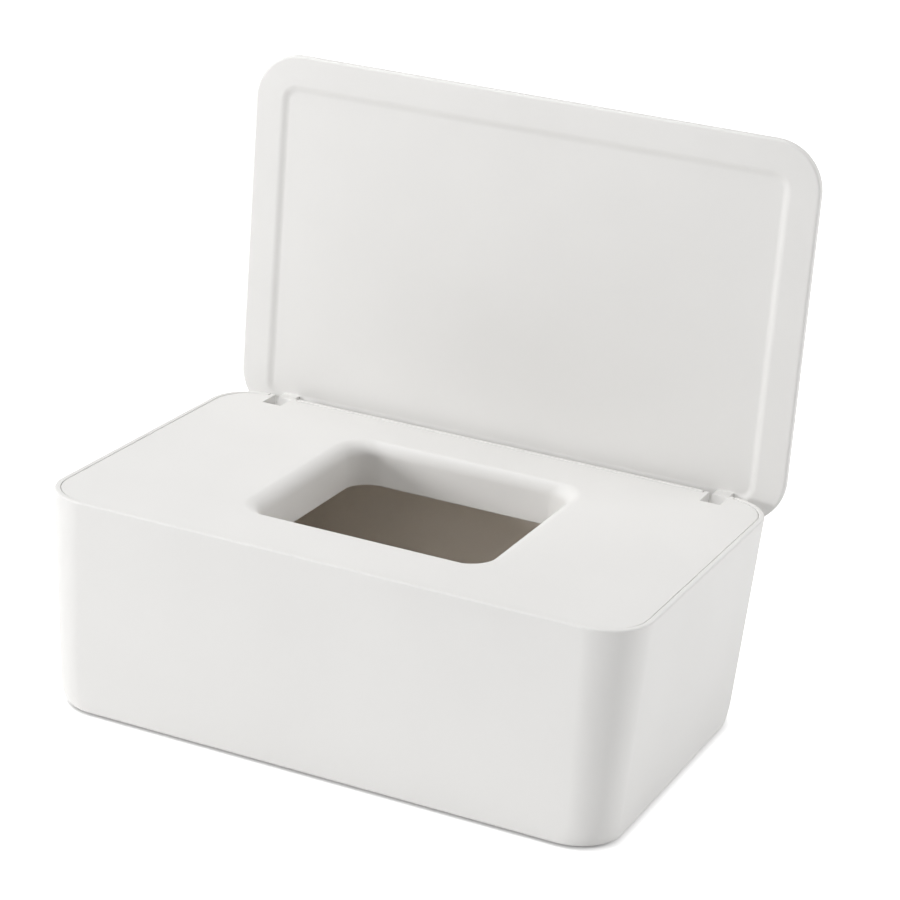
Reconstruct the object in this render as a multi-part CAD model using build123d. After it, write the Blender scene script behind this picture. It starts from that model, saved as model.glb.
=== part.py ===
from build123d import *
import os

# Wipes container: a drafted open box, a drop-in deck with a dispensing mouth, and a hinged lid.
# Millimetres. X runs left to right, Y front to back, Z up. The origin is the middle of the box's
# footprint, on the surface that the feet stand on. The lid is drawn closed, then turned open.

# The box, measured at its rim
box_width = 190.0
box_depth = 122.0
rim_height = 69.5
rim_corner = 15.5
side_draft = 4.1
wall = 2.0
floor_thickness = 2.8
base_edge_radius = 2.2
floor_edge_radius = 3.0
rim_width = 1.7
rim_edge_radius = 0.45
collar_depth = 20.0
base_recess_inset = 7.0
base_recess_depth = 0.6

# The four feet
foot_diameter = 9.0
foot_proud = 0.8
foot_pocket_depth = 0.8
foot_inset = 17.0
foot_edge_radius = 0.4

# The deck, which drops into the rim
deck_thickness = 2.2
deck_gap = 0.3
deck_edge_radius = 0.25
skirt_thickness = 2.0
skirt_gap = 0.25
skirt_depth = 17.5

# The dispensing mouth in the deck
mouth_width = 74.8
mouth_depth = 72.8
mouth_corner = 9.4
mouth_lip_radius = 3.4
mouth_draft = 1.1
throat_depth = 12.6
throat_wall = 1.7
mouth_back_shift = 1.9

# The sealing ring in the skirt's groove
seal_height = 2.0
seal_groove_depth = 1.0
seal_above_skirt_edge = 1.5
seal_gap = 0.15
seal_fit = 0.03

# The hinges
hinge_in_from_side = 19.0
axis_below_rim = 7.0
axis_in_from_rear = 3.0
pin_diameter = 2.4
pin_running_gap = 0.06
pin_press = 0.02
pin_end_recess = 0.2
arm_width = 5.4
arm_side_gap = 0.6
arm_barrel_radius = 2.5
arm_front_reach = 4.0
arm_front_gap = 0.5
arm_shoulder_height = 3.2
arm_root = 0.9
cheek = 1.6
well_floor_gap = 0.7
stop_rib_width = 1.0
stop_rib_gap = 0.05
notch_gap = 0.3
channel_rear_gap = 0.4

# The lid
lid_thickness = 3.6
lid_gap = 0.6
lid_outer_radius = 1.5
lid_inner_radius = 0.8
lid_border = 10.3
lid_recess_depth = 1.0
lid_recess_slope = 1.1
lid_recess_corner = 4.4
lid_recess_softness = 0.4
lid_open_angle = 90.0

# Heights and places that follow from the sizes above
base_height = foot_proud
floor_top = base_height + floor_thickness
ledge_height = rim_height - deck_thickness
collar_height = rim_height - collar_depth
skirt_height = rim_height - skirt_depth
throat_height = rim_height - throat_depth
axis_height = rim_height - axis_below_rim
axis_back = box_depth / 2 - axis_in_from_rear
hinge_axis = Axis((0, axis_back, axis_height), (1, 0, 0))
well_half = arm_width / 2 + arm_side_gap
channel_half = well_half + cheek
well_front = axis_back - arm_front_reach - arm_front_gap
well_floor = axis_height - arm_barrel_radius - well_floor_gap
lid_underside = rim_height + lid_gap
hinge_out = box_width / 2 - hinge_in_from_side
hinge_places = {"left": -hinge_out, "right": hinge_out}
standing = (Align.CENTER, Align.CENTER, Align.MIN)
hanging = (Align.CENTER, Align.CENTER, Align.MAX)
past = 5.0
level_tolerance = 0.001


def draw_in(height):
    """How far the drafted outer face stands in from its place at the rim."""
    return side_draft * (rim_height - height) / (rim_height - base_height)


collar_inset = draw_in(collar_height) + wall
skirt_inset = collar_inset + skirt_gap
groove_inset = skirt_inset + seal_groove_depth


def rim_outline(height, inset):
    """The rim's rounded rectangle, drawn in by inset on every side."""
    shape = RectangleRounded(box_width - 2 * inset, box_depth - 2 * inset, rim_corner - inset)
    return Pos(0, 0, height) * shape


def drafted(low, high, inset):
    """A solid that follows the box's outer face from low to high, inset all round."""
    ends = [rim_outline(z, draw_in(z) + inset) for z in (low, high)]
    return loft(ends, ruled=True)


def upright(low, high, inset):
    """A solid with the rim's outline and upright sides, inset all round."""
    return extrude(rim_outline(low, inset), amount=high - low, dir=(0, 0, 1))


def block(x_range, y_range, z_range):
    """A rectangular block from three ranges."""
    size = [high - low for low, high in (x_range, y_range, z_range)]
    middle = [(low + high) / 2 for low, high in (x_range, y_range, z_range)]
    return Pos(*middle) * Box(*size)


def level_face(solid, height):
    """The largest level face of a solid at a height."""
    faces = solid.faces().filter_by_position(Axis.Z, height - level_tolerance, height + level_tolerance)
    return faces.sort_by(SortBy.AREA)[-1]


def outer_edges(solid, height):
    """The outer loop of edges of the level face at a height."""
    return level_face(solid, height).outer_wire().edges()


def inner_edges(solid, height):
    """The edges round the hole in the level face at a height."""
    return level_face(solid, height).inner_wires()[0].edges()


def foot_places():
    """The middles of the four feet."""
    inset = draw_in(base_height) + foot_inset
    x, y = box_width / 2 - inset, box_depth / 2 - inset
    return {"front_left": (-x, -y), "front_right": (x, -y), "rear_left": (-x, y), "rear_right": (x, y)}


def make_box():
    """The open box: drafted walls, an upright collar inside the rim, hinge notches and foot pockets."""
    box = drafted(base_height, rim_height, 0)
    box = fillet(outer_edges(box, base_height), base_edge_radius)
    cavity = drafted(floor_top, collar_height, wall)
    cavity = fillet(outer_edges(cavity, floor_top), floor_edge_radius)
    box -= cavity
    box -= upright(collar_height, rim_height + past, collar_inset)
    box -= upright(ledge_height, rim_height + past, rim_width)
    box = fillet(outer_edges(box, rim_height), rim_edge_radius)
    recess_inset = draw_in(base_height) + base_recess_inset
    box -= upright(base_height - past, base_height + base_recess_depth, recess_inset)
    pocket_top = base_height + base_recess_depth + foot_pocket_depth
    for x, y in foot_places().values():
        box -= Pos(x, y, pocket_top) * Cylinder(foot_diameter / 2, pocket_top, align=hanging)
    notch_half = channel_half + notch_gap
    notch_floor = well_floor - cheek - notch_gap
    for x in hinge_places.values():
        rear = (box_depth / 2 - collar_inset - past, box_depth / 2 + past)
        box -= block((x - notch_half, x + notch_half), rear, (notch_floor, rim_height + past))
    return box


def make_foot(x, y):
    """A round foot, let into its pocket and standing proud of the base."""
    height = foot_proud + base_recess_depth + foot_pocket_depth
    foot = Cylinder(foot_diameter / 2, height, align=standing)
    foot = fillet(outer_edges(foot, 0), foot_edge_radius)
    return Pos(x, y, 0) * foot


def mouth_solid(grow, low, high):
    """The throat's tapered plug between two heights, grown outwards by grow."""
    ends = []
    for z in (low, high):
        inset = mouth_draft * (rim_height - z) / throat_depth - grow
        shape = RectangleRounded(mouth_width - 2 * inset, mouth_depth - 2 * inset, mouth_corner - inset)
        ends.append(Pos(0, mouth_back_shift, z) * shape)
    return loft(ends, ruled=True)


def hinge_channel(x):
    """The block in the deck that holds one hinge: two cheeks, a front wall and a floor."""
    return block((x - channel_half, x + channel_half), (well_front - cheek, box_depth / 2 + past),
                 (well_floor - cheek, rim_height))


def hinge_well(x):
    """The space inside one hinge channel, open at the top and the rear."""
    return block((x - well_half, x + well_half), (well_front, box_depth / 2 + past),
                 (well_floor, rim_height + past))


def stop_rib(x):
    """The rib at the rear of a channel's floor that the open lid's arm rests on."""
    rear = box_depth / 2 - draw_in(well_floor - cheek) - channel_rear_gap
    top = axis_height - arm_barrel_radius - stop_rib_gap
    return block((x - well_half, x + well_half), (rear - stop_rib_width, rear), (well_floor - cheek, top))


def make_deck():
    """The drop-in deck: plate, skirt with a seal groove, throat and two hinge channels."""
    plate = upright(ledge_height, rim_height, rim_width + deck_gap)
    plate = fillet(outer_edges(plate, rim_height), deck_edge_radius)
    skirt = upright(skirt_height, ledge_height, skirt_inset)
    skirt -= upright(skirt_height, ledge_height, skirt_inset + skirt_thickness)
    groove_low = skirt_height + seal_above_skirt_edge
    groove = upright(groove_low, groove_low + seal_height, skirt_inset - past)
    groove -= upright(groove_low, groove_low + seal_height, groove_inset)
    throat = mouth_solid(throat_wall, throat_height, ledge_height)
    deck = plate + (skirt - groove) + throat
    within_rear_wall = drafted(well_floor - cheek, rim_height, channel_rear_gap)
    for x in hinge_places.values():
        deck += hinge_channel(x) & within_rear_wall
    deck -= mouth_solid(0, throat_height, rim_height)
    deck = fillet(inner_edges(deck, rim_height), mouth_lip_radius)
    for x in hinge_places.values():
        deck -= hinge_well(x)
        deck += stop_rib(x)
        bore = Cylinder(pin_diameter / 2 - pin_press, 2 * channel_half, rotation=(0, 90, 0))
        deck -= Pos(x, axis_back, axis_height) * bore
    return deck


def make_seal():
    """The sealing ring in the skirt's groove, just clear of the collar."""
    low = skirt_height + seal_above_skirt_edge + seal_fit
    high = low + seal_height - 2 * seal_fit
    ring = upright(low, high, collar_inset + seal_gap)
    return ring - upright(low, high, groove_inset - seal_fit)


def make_pin(x):
    """A hinge pin, pressed into both cheeks of its channel."""
    length = 2 * (channel_half - pin_end_recess)
    return Pos(x, axis_back, axis_height) * Cylinder(pin_diameter / 2, length, rotation=(0, 90, 0))


def lid_arm(x):
    """One hinge arm of the closed lid: a barrel about the pin under a straight shoulder."""
    front, rear = -arm_front_reach, arm_barrel_radius
    top = axis_below_rim + lid_gap + arm_root
    corners = [(-arm_barrel_radius, 0), (rear, 0), (rear, top), (front, top), (front, arm_shoulder_height)]
    side = Plane(origin=(x - arm_width / 2, axis_back, axis_height), x_dir=(0, 1, 0), z_dir=(1, 0, 0))
    profile = make_face(Polyline(*corners, close=True)) + Circle(arm_barrel_radius)
    return extrude(side * profile, amount=arm_width)


def make_lid():
    """The lid: a soft-edged plate with a shallow recess inside and two hinge arms."""
    top = lid_underside + lid_thickness
    lid = upright(lid_underside, top, 0)
    lid = fillet(outer_edges(lid, top), lid_outer_radius)
    lid = fillet(outer_edges(lid, lid_underside), lid_inner_radius)
    recess_top = lid_underside + lid_recess_depth
    ends = []
    for z, inset in ((lid_underside, lid_border), (recess_top, lid_border + lid_recess_slope)):
        corner = lid_recess_corner + lid_border - inset
        shape = RectangleRounded(box_width - 2 * inset, box_depth - 2 * inset, corner)
        ends.append(Pos(0, 0, z) * shape)
    lid -= loft(ends, ruled=True)
    lid = fillet(inner_edges(lid, lid_underside), lid_recess_softness)
    lid = fillet(outer_edges(lid, recess_top), lid_recess_softness)
    for x in hinge_places.values():
        lid += lid_arm(x)
        bore = Cylinder(pin_diameter / 2 + pin_running_gap, 2 * arm_width, rotation=(0, 90, 0))
        lid -= Pos(x, axis_back, axis_height) * bore
    return lid.rotate(hinge_axis, -lid_open_angle)


pieces = {"box": make_box(), "deck": make_deck(), "deck_seal": make_seal(), "lid": make_lid()}
for side, place in hinge_places.items():
    pieces[side + "_hinge_pin"] = make_pin(place)
for corner_name, (foot_x, foot_y) in foot_places().items():
    pieces[corner_name + "_foot"] = make_foot(foot_x, foot_y)

os.makedirs("parts", exist_ok=True)
for name, piece in pieces.items():
    export_step(piece, "parts/" + name + ".step")
    print(name, "solids", len(piece.solids()), "volume", round(piece.volume, 1))
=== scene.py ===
# %% [markdown]
# # A wipes container
#
# This is a box for wet wipes in matte white plastic. It has a drafted outer box, a drop-in deck with a
# soft-edged mouth, and a lid on two hinges that stands open.
# The CAD model gives every size and place, in metres. It is loaded first and stays as the fixed frame.
# The three mouldings are modelled again here, because a hand-made mesh can carry the small rounded edges
# that real tools leave, and those edges are what catches the light.

# %% Load the frame
import math
import bmesh
import bpy
from mathutils import Matrix, Vector


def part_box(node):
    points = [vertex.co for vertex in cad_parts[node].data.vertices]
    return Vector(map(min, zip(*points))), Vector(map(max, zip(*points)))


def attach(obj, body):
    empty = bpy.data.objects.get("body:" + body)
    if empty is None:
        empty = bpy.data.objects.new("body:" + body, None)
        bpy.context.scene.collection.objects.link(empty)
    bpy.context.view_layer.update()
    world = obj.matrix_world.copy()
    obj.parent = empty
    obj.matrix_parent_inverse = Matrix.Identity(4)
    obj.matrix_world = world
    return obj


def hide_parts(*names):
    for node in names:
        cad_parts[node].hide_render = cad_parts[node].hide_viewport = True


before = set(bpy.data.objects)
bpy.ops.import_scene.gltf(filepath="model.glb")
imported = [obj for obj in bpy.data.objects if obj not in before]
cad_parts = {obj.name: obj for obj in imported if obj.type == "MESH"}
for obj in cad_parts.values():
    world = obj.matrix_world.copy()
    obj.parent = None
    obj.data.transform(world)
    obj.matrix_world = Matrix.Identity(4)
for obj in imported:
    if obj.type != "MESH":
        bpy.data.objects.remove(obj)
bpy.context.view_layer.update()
print("nodes", sorted(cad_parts))

# %% [markdown]
# ## Sizes
#
# The sizes are the ones in the part's source, in millimetres, because a maker thinks in them. One function
# turns them to metres where they are used. X runs left to right, Y front to back, Z up from the table.
# All three mouldings are rounded rectangles, so each outline is kept as its width, its depth, its corner
# radius and where its middle lies.

# %% Sizes of the container
rim_z = 69.5
ledge_z = 67.3
base_z = 0.8
floor_z = 3.6
hinge_x, hinge_y, hinge_z = 76.0, 58.0, 62.5
lid_front_y, lid_rear_y = 65.6, 69.2
rim = (190.0, 122.0, 15.5, 0.0)
mouth = (74.8, 73.6, 9.4, 1.5)
lid_outline = (190.0, 122.0, 15.5, 120.5)
panel = (170.6, 104.85, 5.2, 119.125)
corner_steps = 16


def m(*millimetres):
    """Millimetres to metres: one number, or a vector of three."""
    values = [v / 1000 for v in millimetres]
    return values[0] if len(values) == 1 else Vector(values)


print("rim", rim[:2], "lid open up to", lid_outline[3] + lid_outline[1] / 2)

# %% [markdown]
# ## Working on one piece at a time
#
# Blender's tools act on all that is selected, so each step selects its own piece first. An object's place,
# turn and scale are moved into its mesh at once. Then every mesh is in the frame's own coordinates, and a
# number in this script means the same place everywhere.

# %% Tools for working on a piece
def work_on(piece, *others):
    """Selects a piece, and others with it, and nothing else."""
    bpy.ops.object.select_all(action="DESELECT")
    for each in (piece, *others):
        each.select_set(True)
    bpy.context.view_layer.objects.active = piece


def edit(piece):
    """Opens a piece in edit mode with all of it selected."""
    work_on(piece)
    bpy.ops.object.mode_set(mode="EDIT")
    bpy.ops.mesh.select_all(action="SELECT")


def done():
    """Leaves edit mode."""
    bpy.ops.object.mode_set(mode="OBJECT")


def apply_place():
    """Moves the object's place, turn and scale into its mesh, so that the object sits at the origin."""
    bpy.ops.object.transform_apply(location=True, rotation=True, scale=True)


# %% [markdown]
# ## Starting shapes
#
# A plane gives the rectangle, and a bevel of its four corner vertices gives the corners, which is what
# Ctrl+Shift+B does by hand. A cylinder or a subdivided cube could give such corners too, but this way each
# radius is exact. An outline is the same plate without its face.

# %% Tools for rounded plates
def plate(name, shape, drawn_in, level, standing=False):
    """A flat plate of a rounded outline, drawn in all round, at a level along Z, or along Y if it stands."""
    width, depth, corner, middle = shape
    place = (0, level, middle) if standing else (0, middle, level)
    turn = (math.radians(90), 0, 0) if standing else (0, 0, 0)
    bpy.ops.object.select_all(action="DESELECT")
    bpy.ops.mesh.primitive_plane_add(size=1, location=m(*place), rotation=turn)
    piece = bpy.context.object
    piece.name = name
    piece.scale = (m(width - 2 * drawn_in), m(depth - 2 * drawn_in), 1)
    apply_place()
    edit(piece)
    bpy.ops.mesh.bevel(offset=m(corner - drawn_in), segments=corner_steps, affect="VERTICES",
                       clamp_overlap=False)
    done()
    return piece


def outline(*loop):
    """A plate without its face: only the loop of edges."""
    piece = plate("outline", *loop)
    edit(piece)
    bpy.ops.mesh.delete(type="ONLY_FACE")
    done()
    return piece


# %% [markdown]
# Faces and edges are picked by their place, because a script has no mouse to click with. Most of them lie
# on one of the rounded outlines, drawn in by some width, at some level.

# %% Tools for picking
# Points this close to a place, in millimetres, count as lying there.
level_slack, outline_slack = 0.02, 0.05


def near(a, b):
    """True where two levels are as good as the same."""
    return abs(a - b) < level_slack


def on_loop(shape, drawn_in, level, standing=False):
    """A test for the points of a rounded outline, drawn in all round, at a level."""
    width, depth, corner, middle = shape

    def test(p):
        height, across = (p.y, p.z) if standing else (p.z, p.y)
        past_x = max(abs(p.x) - width / 2 + corner, 0)
        past_y = max(abs(across - middle) - depth / 2 + corner, 0)
        return near(height, level) and abs(corner - math.hypot(past_x, past_y) - drawn_in) < outline_slack
    return test


def pick(kind, *tests):
    """In edit mode, selects the edges or faces whose corners all pass one of the tests, in mm."""
    bpy.ops.mesh.select_mode(type=kind)
    bpy.ops.mesh.select_all(action="DESELECT")
    mesh = bmesh.from_edit_mesh(bpy.context.edit_object.data)
    for item in mesh.edges if kind == "EDGE" else mesh.faces:
        item.select_set(all(any(test(v.co * 1000) for test in tests) for v in item.verts))
    bmesh.update_edit_mesh(bpy.context.edit_object.data)


# %% [markdown]
# Four edit-mode tools do nearly all of the shaping: inset, extrude, bridge and bevel. Each gets a short name
# here that takes millimetres.

# %% Tools for shaping
def inset(width):
    """Insets the picked face by the same width all round."""
    bpy.ops.mesh.inset(thickness=m(width), use_even_offset=True)


def slide(x=0, y=0, z=0):
    """Moves what is picked."""
    bpy.ops.transform.translate(value=m(x, y, z))


def pull(x=0, y=0, z=0):
    """Extrudes what is picked."""
    bpy.ops.mesh.extrude_region_move(TRANSFORM_OT_translate={"value": m(x, y, z)})


def bridge(first, second):
    """Joins two loops of edges by a band of faces. Loops in one plane may be joined with a twist, so the
    second is moved aside meanwhile."""
    shape, drawn_in, level, *standing = second
    step = 2.0
    aside = (0, step, 0) if standing else (0, 0, step)
    pick("EDGE", on_loop(*second))
    slide(*aside)
    moved = on_loop(shape, drawn_in, level + step, *standing)
    pick("EDGE", on_loop(*first), moved)
    bpy.ops.mesh.bridge_edge_loops()
    pick("EDGE", moved)
    slide(*[-v for v in aside])


def round_edge(loop, radius, steps):
    """Rounds a loop of edges."""
    pick("EDGE", on_loop(*loop))
    bpy.ops.mesh.bevel(offset=m(radius), segments=steps, profile=0.5, affect="EDGES", clamp_overlap=False)


def face_outwards():
    """Turns every face's normal outwards."""
    bpy.ops.mesh.select_all(action="SELECT")
    bpy.ops.mesh.normals_make_consistent(inside=False)


# %% [markdown]
# ## The outer box
#
# The real box is one injection moulding. Its walls lean in by a few degrees towards the base, so that it
# leaves the mould, and a step inside the rim carries the deck. The plate starts as the rim's outline. An
# inset and a move down make the leaning walls in one go, which keeps every corner round. Just above the
# table the corners get rounder still, so there a second outline with larger corners is bridged on.

# %% Walls and base of the box
side_draft = 4.1
foot_outline = (190.0, 122.0, 19.0, 0.0)
bend_z = base_z + 4.5
bend_in = side_draft * (rim_z - bend_z) / (rim_z - base_z)
base_recess, base_recess_depth = 7.0, 0.6
wall_bend, base_edge = (rim, bend_in, bend_z), (foot_outline, side_draft, base_z)
box = plate("wipes_box", rim, 0, rim_z)
edit(box)
inset(bend_in)
slide(z=bend_z - rim_z)
bpy.ops.mesh.delete(type="ONLY_FACE")
done()
work_on(box, outline(*base_edge))
bpy.ops.object.join()
edit(box)
bridge(wall_bend, base_edge)
pick("EDGE", on_loop(*base_edge))
bpy.ops.mesh.edge_face_add()
pick("FACE", on_loop(*base_edge))
inset(base_recess)
pull(z=base_recess_depth)
print("leaning walls", round(bend_in, 2), "mm in at", bend_z)

# %% [markdown]
# A face across the top is inset and extruded down in turn. That makes the flat rim, the ledge that carries
# the deck, the collar that the sealing ring presses on, and the inside with its floor.

# %% Rim, ledge, collar and floor of the box
rim_thickness = 1.83
collar_z, collar_in = 49.5, 3.19
floor_in = 5.93
pick("EDGE", on_loop(rim, 0, rim_z))
bpy.ops.mesh.edge_face_add()
pick("FACE", on_loop(rim, 0, rim_z))
inset(rim_thickness)
pull(z=ledge_z - rim_z)
inset(collar_in - rim_thickness)
pull(z=collar_z - ledge_z)
inset(floor_in - collar_in)
slide(z=floor_z - collar_z)
print("floor", round(rim[0] - 2 * floor_in, 1), "by", round(rim[1] - 2 * floor_in, 1))

# %% [markdown]
# The edges get the radii that a hand would feel: soft at the foot of the walls and in the floor, fine at
# the rim.

# %% Rounded edges of the box
bend_radius, base_radius, floor_radius, rim_radius, rim_inner_radius = 2.2, 1.0, 3.0, 0.6, 0.2
round_edge(wall_bend, bend_radius, 5)
round_edge(base_edge, base_radius, 5)
round_edge((rim, floor_in, floor_z), floor_radius, 6)
round_edge((rim, 0, rim_z), rim_radius, 4)
round_edge((rim, rim_thickness, rim_z), rim_inner_radius, 2)
face_outwards()
done()
print("box faces", len(box.data.polygons))

# %% [markdown]
# ## Cutting and joining
#
# The box has two notches in its rear wall for the hinges and four shallow pockets for its feet. Such holes
# could be cut with the knife tool, but a Boolean modifier with a plain block or rod is exact and can be
# changed later. Each is applied at once, and its block is thrown away.

# %% Tools for blocks, rods and Booleans
def block(x_range, y_range, z_range):
    """A block between two places on each axis. Its top is drawn first, so it lies exactly on its level."""
    (left, right), (front, rear), (bottom, top) = x_range, y_range, z_range
    bpy.ops.object.select_all(action="DESELECT")
    bpy.ops.mesh.primitive_plane_add(size=1, location=m((left + right) / 2, (front + rear) / 2, top))
    piece = bpy.context.object
    piece.scale = (m(right - left), m(rear - front), 1)
    apply_place()
    edit(piece)
    pull(z=bottom - top)
    face_outwards()
    done()
    return piece


def rod(radius, length, middle, along_x=False):
    """A round rod, upright or along X."""
    turn = (0, math.radians(90), 0) if along_x else (0, 0, 0)
    bpy.ops.object.select_all(action="DESELECT")
    bpy.ops.mesh.primitive_cylinder_add(vertices=48, radius=m(radius), depth=m(length), location=m(*middle),
                                        rotation=turn)
    apply_place()
    return bpy.context.object


def boolean(piece, tool, operation):
    """Cuts a tool out of a piece, or adds it, and removes the tool."""
    work_on(piece)
    bpy.ops.object.modifier_add(type="BOOLEAN")
    modifier = piece.modifiers[-1]
    modifier.operation = operation
    modifier.solver = "EXACT"
    modifier.object = tool
    bpy.ops.object.modifier_apply(modifier=modifier.name)
    bpy.data.objects.remove(tool)


# %% Notches and foot pockets
# A cut runs out past the piece, up to here.
past_top, past_rear = 75.0, 66.0
channel_half, channel_floor_z = 4.9, 57.7
notch_half, notch_front, notch_floor_z = 5.2, 52.0, 57.4
pocket_radius = 4.5
for x in (-hinge_x, hinge_x):
    notch = block((x - notch_half, x + notch_half), (notch_front, past_rear), (notch_floor_z, past_top))
    boolean(box, notch, "DIFFERENCE")
for foot_name in ("front_left_foot", "front_right_foot", "rear_left_foot", "rear_right_foot"):
    low, high = (corner * 1000 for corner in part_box(foot_name))
    boolean(box, rod(pocket_radius, high.z, (low + high) / 2), "DIFFERENCE")
print("box faces after the cuts", len(box.data.polygons))

# %% [markdown]
# ## Finishing a moulding
#
# Even an edge that looks sharp on a moulding is rounded by a tenth of a millimetre or two, and draws a thin
# bright or dark line. A Bevel modifier limited by angle finds every such edge by itself. It could run last
# on every piece, but the lid's long soft step would crease where an arm meets it, so the arms get theirs
# before they are joined on. Shading smooth by angle leaves the creases that remain crisp. Weighted normals
# then let the large flat faces set the shading, so that only the rounded edges bend the light.

# %% Tools for finishing a moulding
# In millimetres: what is smaller is a speck. In degrees: what is flat, what gets rounded, what stays crisp.
speck, flat_angle, sharp_angle, crease_angle = 0.01, 0.1, 40, 50


def soften(piece, radius):
    """Rounds every edge that is still sharp, after merging the specks that a Boolean leaves."""
    edit(piece)
    bpy.ops.mesh.remove_doubles(threshold=m(speck))
    bpy.ops.mesh.dissolve_limited(angle_limit=math.radians(flat_angle))
    done()
    bpy.ops.object.modifier_add(type="BEVEL")
    bevel = piece.modifiers[-1]
    bevel.width = m(radius)
    bevel.segments = 2
    bevel.limit_method = "ANGLE"
    bevel.angle_limit = math.radians(sharp_angle)
    bevel.use_clamp_overlap = False
    bpy.ops.object.modifier_apply(modifier=bevel.name)


def finish(piece, node, body):
    """Shades a piece smooth except across its creases, and puts it in the CAD node's place."""
    work_on(piece)
    bpy.ops.object.shade_smooth_by_angle(angle=math.radians(crease_angle))
    bpy.ops.object.modifier_add(type="WEIGHTED_NORMAL")
    weighted = piece.modifiers[-1]
    weighted.weight = 100
    weighted.keep_sharp = True
    bpy.ops.object.modifier_apply(modifier=weighted.name)
    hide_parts(node)
    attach(piece, body)
    print(piece.name, "faces", len(piece.data.polygons))


# %% The finished box
box_softness = 0.15
soften(box, box_softness)
finish(box, "box", "box")

# %% [markdown]
# ## The deck
#
# The deck is a tray that drops into the rim. Its plate carries the mouth, where the wipes come out, and its
# skirt holds the sealing ring. The plate lies a hair under the rim: seen from the front, only the bright
# edge of the rim shows, while the gap behind it shows at the sides. The mouth isn't parallel to the rim, so
# an inset can't make it. Instead, outlines stand for the plate's edge and the throat's corners, and bridging
# joins each to the next.

# %% Plate, skirt and throat of the deck
deck_in, deck_z = 2.0, rim_z - 0.12
skirt_in, skirt_inside, skirt_z = 3.44, 5.44, 52.0
throat_z, throat_in, throat_out, throat_top_out = 55.4, 0.7, -0.9, -1.5
deck = plate("wipes_deck", rim, deck_in, ledge_z)
edit(deck)
inset(skirt_in - deck_in)
pull(z=skirt_z - ledge_z)
inset(skirt_inside - skirt_in)
pull(z=ledge_z - skirt_z)
bpy.ops.mesh.delete(type="ONLY_FACE")
done()
plate_foot, plate_edge = (rim, deck_in, ledge_z), (rim, deck_in, deck_z)
mouth_edge, throat_edge = (mouth, 0, deck_z), (mouth, throat_in, throat_z)
throat_outer, throat_top = (mouth, throat_out, throat_z), (mouth, throat_top_out, ledge_z)
tray_edge = (rim, skirt_inside, ledge_z)
work_on(deck, *[outline(*loop) for loop in (plate_edge, mouth_edge, throat_edge, throat_outer, throat_top)])
bpy.ops.object.join()
edit(deck)
bridge(plate_foot, plate_edge)
bridge(plate_edge, mouth_edge)
bridge(mouth_edge, throat_edge)
bridge(throat_edge, throat_outer)
bridge(throat_outer, throat_top)
bridge(throat_top, tray_edge)
face_outwards()

# %% [markdown]
# The lip of the mouth is the softest edge of the whole box, so that a wipe doesn't tear on it. The groove
# for the sealing ring is a band of the skirt's faces, pushed in.

# %% Lip, edges and seal groove of the deck
lip_radius, throat_radius = 4.4, 0.4
groove_low, groove_high, groove_depth = 53.5, 55.5, 1.0
round_edge(mouth_edge, lip_radius, 12)
round_edge(throat_edge, throat_radius, 3)
for z in (groove_low, groove_high):
    bpy.ops.mesh.select_all(action="SELECT")
    bpy.ops.mesh.bisect(plane_co=m(0, 0, z), plane_no=(0, 0, 1))
pick("FACE", on_loop(rim, skirt_in, groove_low), on_loop(rim, skirt_in, groove_high))
bpy.ops.mesh.extrude_region_shrink_fatten(TRANSFORM_OT_shrink_fatten={"value": -m(groove_depth)})
done()
print("deck faces", len(deck.data.polygons))

# %% [markdown]
# Each hinge sits in a channel that is part of the deck and fills the box's notch: two cheeks, a floor, and
# a rib at the rear that holds the open lid upright. The channel's rear leans in as the box's wall does.

# %% Hinge channels
well_half, well_front, well_floor_z = 3.3, 51.6, 59.3
channel_front, channel_rear, channel_lean = well_front - 1.6, 60.6, 0.7
rib_front, rib_rear, rib_top = 58.9, 59.88, 59.95
# The rib runs this far into the cheeks and the floor, so that the two are joined and don't only touch.
overlap = 0.5
pin_radius, pin_wall = 1.2, 0.2
deck_softness = 0.2
for x in (-hinge_x, hinge_x):
    channel = block((x - channel_half, x + channel_half), (channel_front, channel_rear),
                    (channel_floor_z, deck_z))
    edit(channel)
    pick("EDGE", lambda p: near(p.y, channel_rear) and near(p.z, channel_floor_z))
    slide(y=-channel_lean)
    done()
    boolean(deck, channel, "UNION")
    well = block((x - well_half, x + well_half), (well_front, past_rear), (well_floor_z, past_top))
    boolean(deck, well, "DIFFERENCE")
    rib_half = well_half + overlap
    rib = block((x - rib_half, x + rib_half), (rib_front, rib_rear), (channel_floor_z + overlap, rib_top))
    boolean(deck, rib, "UNION")
    seat = rod(pin_radius, 2 * (channel_half - pin_wall), (x, hinge_y, hinge_z), along_x=True)
    boolean(deck, seat, "DIFFERENCE")
soften(deck, deck_softness)
finish(deck, "deck", "deck")

# %% [markdown]
# ## The lid
#
# The lid is modelled where it stands open, at 90 degrees, so that its mesh needs no turning later. Its
# inner face has a shallow panel with a soft step round it. The outlines are bridged as the mouth's were,
# this time standing upright.

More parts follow.
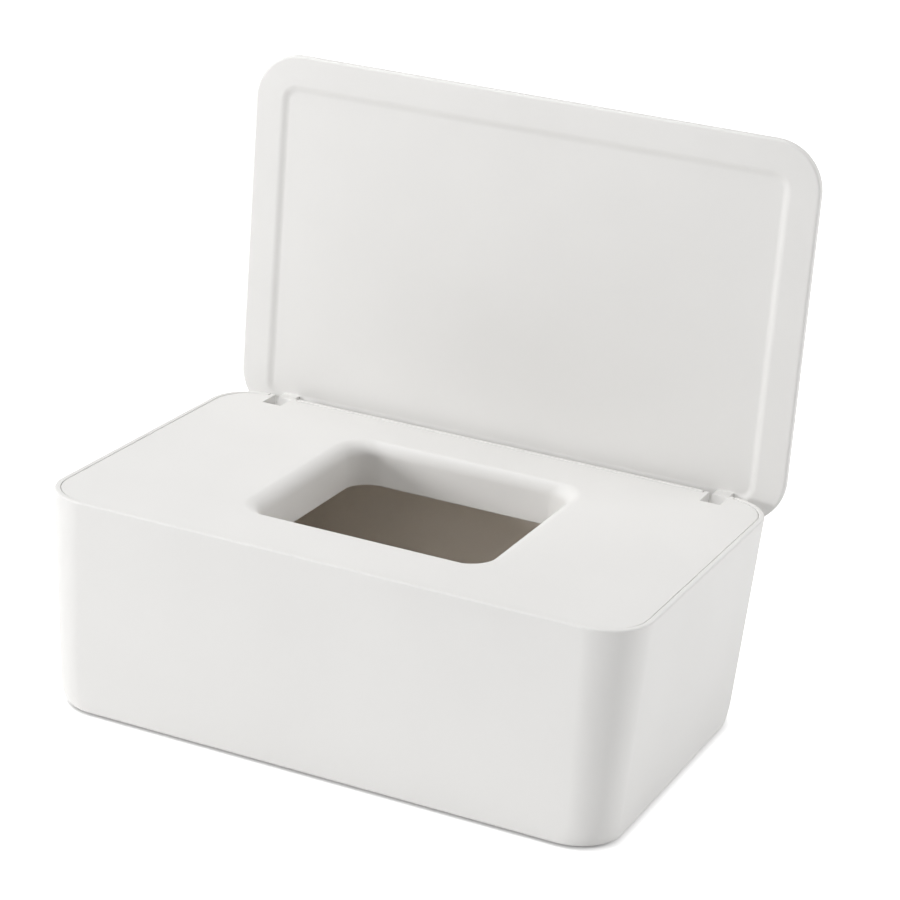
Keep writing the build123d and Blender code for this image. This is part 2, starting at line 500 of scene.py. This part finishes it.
# %% Lid plate with its sunk panel
panel_depth, panel_step = 0.75, 1.7
lid_rear_radius, lid_front_radius, step_radius = 1.5, 0.9, 0.7
lid_rear_edge = (lid_outline, 0, lid_rear_y, True)
lid_front_edge = (lid_outline, 0, lid_front_y, True)
panel_edge = (panel, 0, lid_front_y, True)
panel_foot = (panel, panel_step, lid_front_y + panel_depth, True)
lid = plate("wipes_lid", *lid_rear_edge)
work_on(lid, outline(*lid_front_edge), outline(*panel_edge), plate("panel", *panel_foot))
bpy.ops.object.join()
edit(lid)
bridge(lid_rear_edge, lid_front_edge)
bridge(lid_front_edge, panel_edge)
bridge(panel_edge, panel_foot)
face_outwards()
round_edge(lid_rear_edge, lid_rear_radius, 8)
round_edge(lid_front_edge, lid_front_radius, 6)
round_edge(panel_edge, step_radius, 5)
round_edge(panel_foot, step_radius, 5)
done()
print("lid faces", len(lid.data.polygons))

# %% [markdown]
# The two hinge arms stand off the lid's inner face. Each is a round barrel on a block, with a bore for the
# pin. The block slopes up from the barrel at 45 degrees to a flat top next to the lid, which is the light
# spot seen behind each dark well. The slope clears the front of the well when the lid turns.

# %% Hinge arms
arm_half, arm_top, arm_root, barrel_radius = 2.7, 6.0, 1.2, 2.5
running_gap, arm_softness = 0.06, 0.15
for x in (-hinge_x, hinge_x):
    arm = block((x - arm_half, x + arm_half), (hinge_y, lid_front_y + arm_root),
                (hinge_z - barrel_radius, hinge_z + arm_top))
    edit(arm)
    bpy.ops.mesh.bisect(plane_co=m(x, hinge_y, hinge_z + barrel_radius), plane_no=(0, -1, 1), use_fill=True,
                        clear_outer=True)
    done()
    boolean(arm, rod(barrel_radius, 2 * arm_half, (x, hinge_y, hinge_z), along_x=True), "UNION")
    soften(arm, arm_softness)
    boolean(lid, arm, "UNION")
    bore = rod(pin_radius + running_gap, 3 * arm_half, (x, hinge_y, hinge_z), along_x=True)
    boolean(lid, bore, "DIFFERENCE")
finish(lid, "lid", "lid")

# %% [markdown]
# ## White ABS
#
# The three mouldings are white ABS. The steel of the mould is spark-eroded, which leaves a fine, even grain
# on the plastic: it looks matt, but a low light still draws a soft sheen on it. ABS is never quite neutral,
# so its white is a little warm. The grain could be an image, but noise on Object coordinates has no seams
# and keeps its size. Object coordinates are in metres, so a pattern of so many millimetres needs a scale of
# 1000 divided by that.
#
# Light that bounces many times between white walls turns warm, because the plastic takes a little blue out
# of it each time. A render follows only a few bounces, so a warmer white is painted on the inside of the
# box: painted warm bounce light, not a different plastic.

# %% Tools for materials
def linear(hex_colour):
    """An sRGB hex colour as linear red, green, blue and alpha."""
    channels = [int(hex_colour[i:i + 2], 16) / 255 for i in (1, 3, 5)]
    return [c / 12.92 if c <= 0.04045 else ((c + 0.055) / 1.055) ** 2.4 for c in channels] + [1.0]


def per_mm(size):
    """The scale that gives a pattern features of this size in millimetres."""
    return 1000 / size


def new_material(name):
    """An empty node material."""
    material = bpy.data.materials.new(name)
    material.use_nodes = True
    material.node_tree.nodes.clear()
    return material.node_tree, material


def add(tree, kind, values=None, links=None, **settings):
    """Adds a node, with its settings, the values of its sockets, and what is linked to them."""
    node = tree.nodes.new("ShaderNode" + kind)
    for name, value in settings.items():
        setattr(node, name, value)
    for socket, value in (values or {}).items():
        node.inputs[socket].default_value = value
    for socket, source in (links or {}).items():
        tree.links.new(source, node.inputs[socket])
    return node


# %% White ABS
def white_abs(name, light_hex, dark_hex):
    """Moulded ABS with a spark-eroded grain, between two close shades."""
    tree, material = new_material(name)
    place = add(tree, "TexCoord").outputs["Object"]
    # The real grain is about 0.1 mm. It is drawn at 0.5 mm, the finest that still shows in the render.
    grain = add(tree, "TexNoise", {"Scale": per_mm(0.5), "Detail": 2.0, "Roughness": 0.6}, {"Vector": place})
    # The melt cools a little unevenly, which leaves the large walls with very faint hollows.
    hollows = add(tree, "TexNoise", {"Scale": per_mm(45), "Detail": 1.0}, {"Vector": place})
    shades = add(tree, "ValToRGB", links={"Fac": hollows.outputs["Fac"]})
    shades.color_ramp.elements[0].position, shades.color_ramp.elements[1].position = 0.35, 0.65
    shades.color_ramp.elements[0].color = linear(dark_hex)
    shades.color_ramp.elements[1].color = linear(light_hex)
    sheen = add(tree, "MapRange", {"To Min": 0.5, "To Max": 0.62}, {"Value": grain.outputs["Fac"]})
    waves = add(tree, "Bump", {"Strength": 0.1, "Distance": m(0.3)}, {"Height": hollows.outputs["Fac"]})
    relief = add(tree, "Bump", {"Strength": 0.3, "Distance": m(0.02)},
                 {"Height": grain.outputs["Fac"], "Normal": waves.outputs["Normal"]})
    shader = add(tree, "BsdfPrincipled", {"IOR": 1.54},
                 {"Base Color": shades.outputs["Color"], "Roughness": sheen.outputs["Result"],
                  "Normal": relief.outputs["Normal"]})
    add(tree, "OutputMaterial", links={"Surface": shader.outputs["BSDF"]})
    return material


abs_shell = white_abs("spark_eroded_white_abs", "#ECEBE9", "#EAE9E7")
# The second, warmer white is painted warm bounce light for the faces inside the box.
abs_painted_bounce = white_abs("white_abs_painted_warm_bounce", "#F1E9DF", "#EEE6DB")
print("made", abs_shell.name, "and", abs_painted_bounce.name)

# %% [markdown]
# The faces that look into the box, from the floor up to the ledge, get the warmer white, which is painted
# bounce light. They are found by their normals: on an inner wall, the normal points towards the middle. So
# it does on a side of each hinge notch, but that lies behind the inner wall, and stays as the shell is.

# %% Plastic on the three mouldings
for piece in (box, deck, lid):
    piece.data.materials.clear()
    piece.data.materials.append(abs_shell)
box.data.materials.append(abs_painted_bounce)
# The floor's own face counts as inside. The ledge's face and its soft edge don't.
margin = 0.1
# These faces get the painted warm bounce light.
for face in box.data.polygons:
    middle, normal = face.center * 1000, face.normal
    looks_in = normal.x * middle.x + normal.y * middle.y < 0 or normal.z > 0.5
    in_notch = middle.y > rim[1] / 2 - collar_in + margin
    if looks_in and not in_notch and floor_z - margin < middle.z < ledge_z - margin:
        face.material_index = 1
print("inside faces", sum(face.material_index for face in box.data.polygons))

# %% [markdown]
# ## Silicone and steel
#
# The feet and the sealing ring are silicone rubber: milky, dull, and a little see-through at its edges.
# The hinge pins are drawn stainless steel, with fine lines along the wire.

# %% Silicone rubber
tree, silicone = new_material("milky_silicone_rubber")
place = add(tree, "TexCoord").outputs["Object"]
dust = add(tree, "TexNoise", {"Scale": per_mm(1.2), "Detail": 3.0}, {"Vector": place})
haze = add(tree, "MapRange", {"To Min": 0.42, "To Max": 0.6}, {"Value": dust.outputs["Fac"]})
milk = add(tree, "ValToRGB", links={"Fac": dust.outputs["Fac"]})
milk.color_ramp.elements[0].color, milk.color_ramp.elements[1].color = linear("#D6D5D1"), linear("#E0DFDB")
skin = add(tree, "Bump", {"Strength": 0.2, "Distance": m(0.03)}, {"Height": dust.outputs["Fac"]})
rubber = add(tree, "BsdfPrincipled", {"IOR": 1.41, "Subsurface Weight": 0.2, "Subsurface Scale": m(1.5)},
             {"Base Color": milk.outputs["Color"], "Roughness": haze.outputs["Result"],
              "Normal": skin.outputs["Normal"]})
add(tree, "OutputMaterial", links={"Surface": rubber.outputs["BSDF"]})
print("made", silicone.name)

# %% Drawn stainless steel
tree, steel = new_material("drawn_stainless_steel")
place = add(tree, "TexCoord").outputs["Object"]
along = add(tree, "Mapping", {"Scale": (0.02, 1, 1)}, {"Vector": place})
lines = add(tree, "TexNoise", {"Scale": per_mm(0.25), "Detail": 2.0}, {"Vector": along.outputs["Vector"]})
wire = add(tree, "MapRange", {"To Min": 0.2, "To Max": 0.38}, {"Value": lines.outputs["Fac"]})
scratches = add(tree, "Bump", {"Strength": 0.3, "Distance": m(0.01)}, {"Height": lines.outputs["Fac"]})
metal = add(tree, "BsdfPrincipled", {"Metallic": 1.0, "Base Color": linear("#C4C5C6")},
            {"Roughness": wire.outputs["Result"], "Normal": scratches.outputs["Normal"]})
add(tree, "OutputMaterial", links={"Surface": metal.outputs["BSDF"]})
for name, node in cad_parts.items():
    if name.endswith("_foot") or name == "deck_seal":
        node.data.materials.clear()
        node.data.materials.append(silicone)
    if name.endswith("_pin"):
        node.data.materials.clear()
        node.data.materials.append(steel)
        print(name, "is", steel.name)

# %% [markdown]
# ## Camera
#
# The photograph was taken with a long lens from a little above, to the right of the front. The numbers were
# worked out from the box's edges in the picture. The picture is square.

# %% Camera
azimuth, elevation, roll = (math.radians(v) for v in (23.26, 19.76, 4.49))
distance, target = m(848.2), m(10.51, 0, 87.54)
back = Vector((math.sin(azimuth) * math.cos(elevation), -math.cos(azimuth) * math.cos(elevation),
               math.sin(elevation)))
right = Vector((0, 0, 1)).cross(back).normalized()
up = back.cross(right)
turned_right = right * math.cos(roll) + up * math.sin(roll)
turned_up = up * math.cos(roll) - right * math.sin(roll)
bpy.ops.object.camera_add(location=target + back * distance)
camera = bpy.context.object
camera.matrix_world = Matrix.LocRotScale(
    target + back * distance, Matrix((turned_right, turned_up, back)).transposed().to_quaternion(), None)
camera.data.sensor_width = 36
camera.data.lens = 114.32
camera.data.clip_end = 50
bpy.context.scene.camera = camera
print("camera at", [round(v, 3) for v in camera.matrix_world.translation])

# %% [markdown]
# ## Studio
#
# The light is plain and soft, as on a product table. A low key lamp from the front left lights the front and
# the lid, a high broad one lights the deck, a near one on the left fades over the deck, and one behind on
# the right keeps the side from going dull. A pale room fills in the rest. The strengths were matched to the
# tones of the photograph, where white plastic never quite reaches white.

# %% Lamps
# Each lamp: degrees to the left of the front, degrees up, metres away, metres wide, watts.
studio = {
    "key": (40, 11, 1.8, 0.35, 12.3),
    "high": (60, 60, 1.8, 1.0, 7.5),
    "left": (90, 60, 0.8, 0.6, 2.2),
    "rear": (-110, 20, 0.9, 0.6, 2.8),
}
room_light = 0.3
middle = m(0, 20, 80)
for name, (to_left, height, away, size, power) in studio.items():
    turn, rise = math.radians(to_left), math.radians(height)
    toward = Vector((-math.sin(turn) * math.cos(rise), -math.cos(turn) * math.cos(rise), math.sin(rise)))
    bpy.ops.object.light_add(type="AREA", location=middle + toward * away)
    lamp = bpy.context.object
    lamp.name = name
    lamp.data.shape = "SQUARE"
    lamp.data.size = size
    lamp.data.energy = power
    lamp.rotation_euler = toward.to_track_quat("Z", "Y").to_euler()
print("lamps", len(studio), "watts in all", round(sum(lamp[-1] for lamp in studio.values()), 1))

# %% [markdown]
# The room is white to the camera and in reflections, and much weaker as a lamp, so that it doesn't wash the
# shading out.

# %% Room
world = bpy.data.worlds.new("pale_room")
bpy.context.scene.world = world
world.use_nodes = True
world.node_tree.nodes.clear()
tree = world.node_tree
rays = add(tree, "LightPath")
seen = add(tree, "Math", links={0: rays.outputs["Is Camera Ray"], 1: rays.outputs["Is Glossy Ray"]},
           operation="MAXIMUM")
seen = add(tree, "Math", links={0: seen.outputs[0], 1: rays.outputs["Is Transmission Ray"]},
           operation="MAXIMUM")
strength = add(tree, "MapRange", {"To Min": room_light, "To Max": 1.0}, {"Value": seen.outputs[0]})
glow = add(tree, "Background", {"Color": (1, 1, 1, 1)}, {"Strength": strength.outputs["Result"]})
add(tree, "OutputWorld", links={"Surface": glow.outputs["Background"]})
print("room as a lamp", room_light, "of what the camera sees")

# %% [markdown]
# The floor is a sweep of white paper. A glow that only the camera and reflections see lifts it to white. The
# glow is weaker near the object, so that the object's own shadow shows. Ambient occlusion takes the glow out
# in the thin gap under the base, which adds painted contact shade to the real shadow there and keeps the
# dark line.

# %% Floor
bpy.ops.object.select_all(action="DESELECT")
bpy.ops.mesh.primitive_plane_add(size=8, location=(0, 0, 0))
table = bpy.context.object
table.name = "table"
tree, paper = new_material("white_paper_sweep")
glow_near = 0.76
rays = add(tree, "LightPath")
seen = add(tree, "Math", links={0: rays.outputs["Is Camera Ray"], 1: rays.outputs["Is Glossy Ray"]},
           operation="MAXIMUM")
place = add(tree, "TexCoord").outputs["Object"]
away = add(tree, "VectorMath", links={0: place}, operation="LENGTH")
lift = add(tree, "MapRange", {"From Min": m(150), "From Max": m(600), "To Min": glow_near, "To Max": 1.0},
           {"Value": away.outputs["Value"]})
# Ambient occlusion fades the glow where the base hides the paper: painted contact shade over the real
# shadow.
contact = add(tree, "AmbientOcclusion", {"Distance": m(4)})
lift = add(tree, "Math", links={0: lift.outputs["Result"], 1: contact.outputs["AO"]}, operation="MULTIPLY")
matt = add(tree, "BsdfDiffuse", {"Color": linear("#F4F4F4")})
bright = add(tree, "Emission", {"Color": (1, 1, 1, 1)}, {"Strength": lift.outputs[0]})
both = add(tree, "AddShader", links={0: matt.outputs[0], 1: bright.outputs[0]})
mix = add(tree, "MixShader", links={0: seen.outputs[0], 1: matt.outputs[0], 2: both.outputs[0]})
add(tree, "OutputMaterial", links={"Surface": mix.outputs[0]})
table.data.materials.append(paper)
print("table", [round(v, 1) for v in table.dimensions])

# %% [markdown]
# ## The last step
#
# The view transform is Standard, so that a colour shows as it is written.

# %% Finish
bpy.context.scene.view_settings.view_transform = "Standard"
